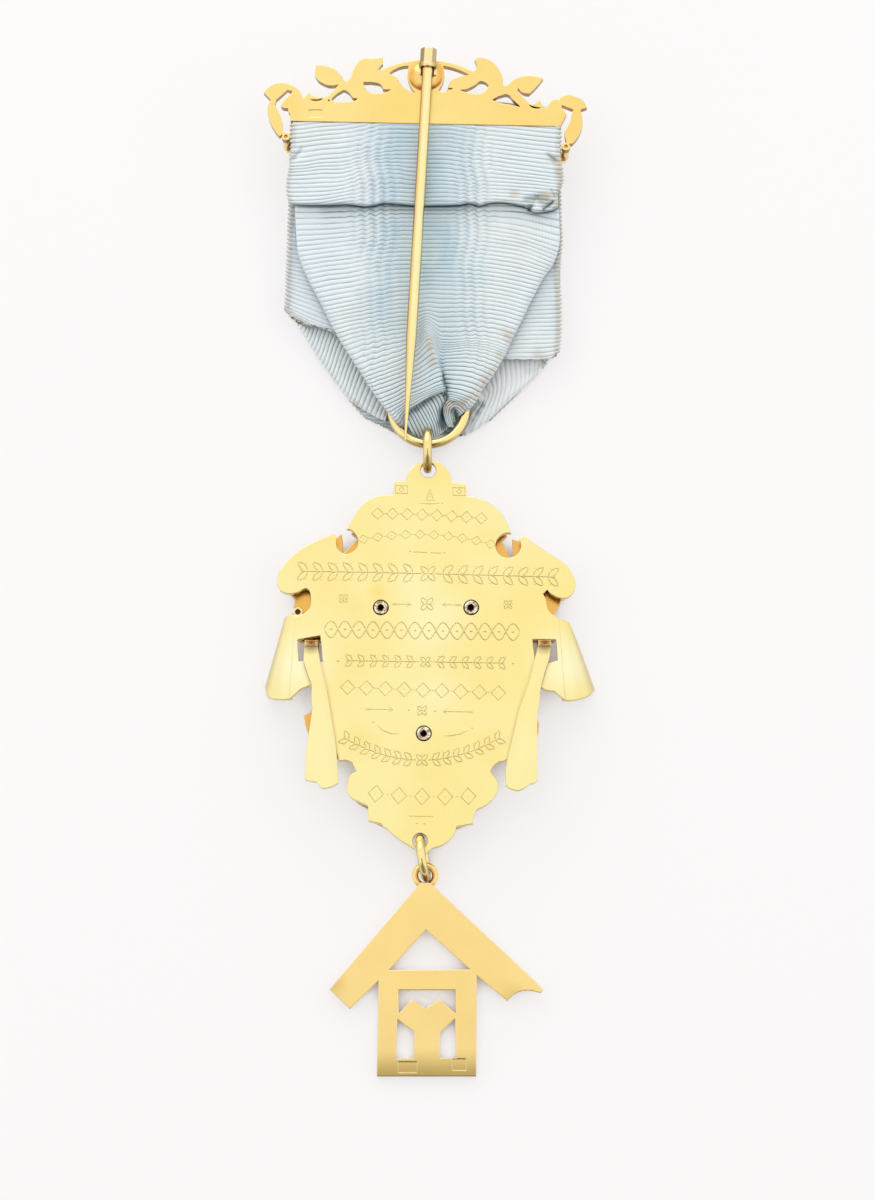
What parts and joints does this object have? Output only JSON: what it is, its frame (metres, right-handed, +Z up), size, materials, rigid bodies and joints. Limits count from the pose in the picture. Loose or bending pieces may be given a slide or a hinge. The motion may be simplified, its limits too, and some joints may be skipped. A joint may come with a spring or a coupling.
{
  "type": "masonic jewel",
  "caption": "Gilt lodge officer's jewel lying face down: pierced leafwork pin bar, folded pale blue ribbed ribbon, rings, layered shield cartouche and a cut square-and-panel drop.",
  "frame": {"origin": "on the surface the jewel lies on, under the middle of its bounding box", "axes": "+Y from the pendant towards the pin bar, +Z up out of the back of the jewel, +X to the right as seen from the back"},
  "size_m": [0.0468, 0.146, 0.0093],
  "materials": {
    "bar_gold": "polished gilt with orange reflections in the recesses",
    "plate_gold": "satin pale gold sheet with fine scratches and cut ornament",
    "frame_gold": "polished gilt sheet",
    "pendant_gold": "polished gilt sheet",
    "rivet_metal": "bright silver-coloured tube ends",
    "ribbon_cloth": "ribbed watered silk, pale blue, faintly stained"
  },
  "bodies": {
    "root": {"brooch_bar": "bar_gold", "pin": "bar_gold", "ribbon": "ribbon_cloth", "ribbon_ring": "bar_gold", "upper_jump_ring": "bar_gold", "jewel_plate": "plate_gold", "strap_frame": "frame_gold", "front_disc": "frame_gold", "rivet_left": "rivet_metal", "rivet_right": "rivet_metal", "rivet_low": "rivet_metal", "lower_jump_ring": "bar_gold", "pendant": "pendant_gold"}
  },
  "joints": []
}
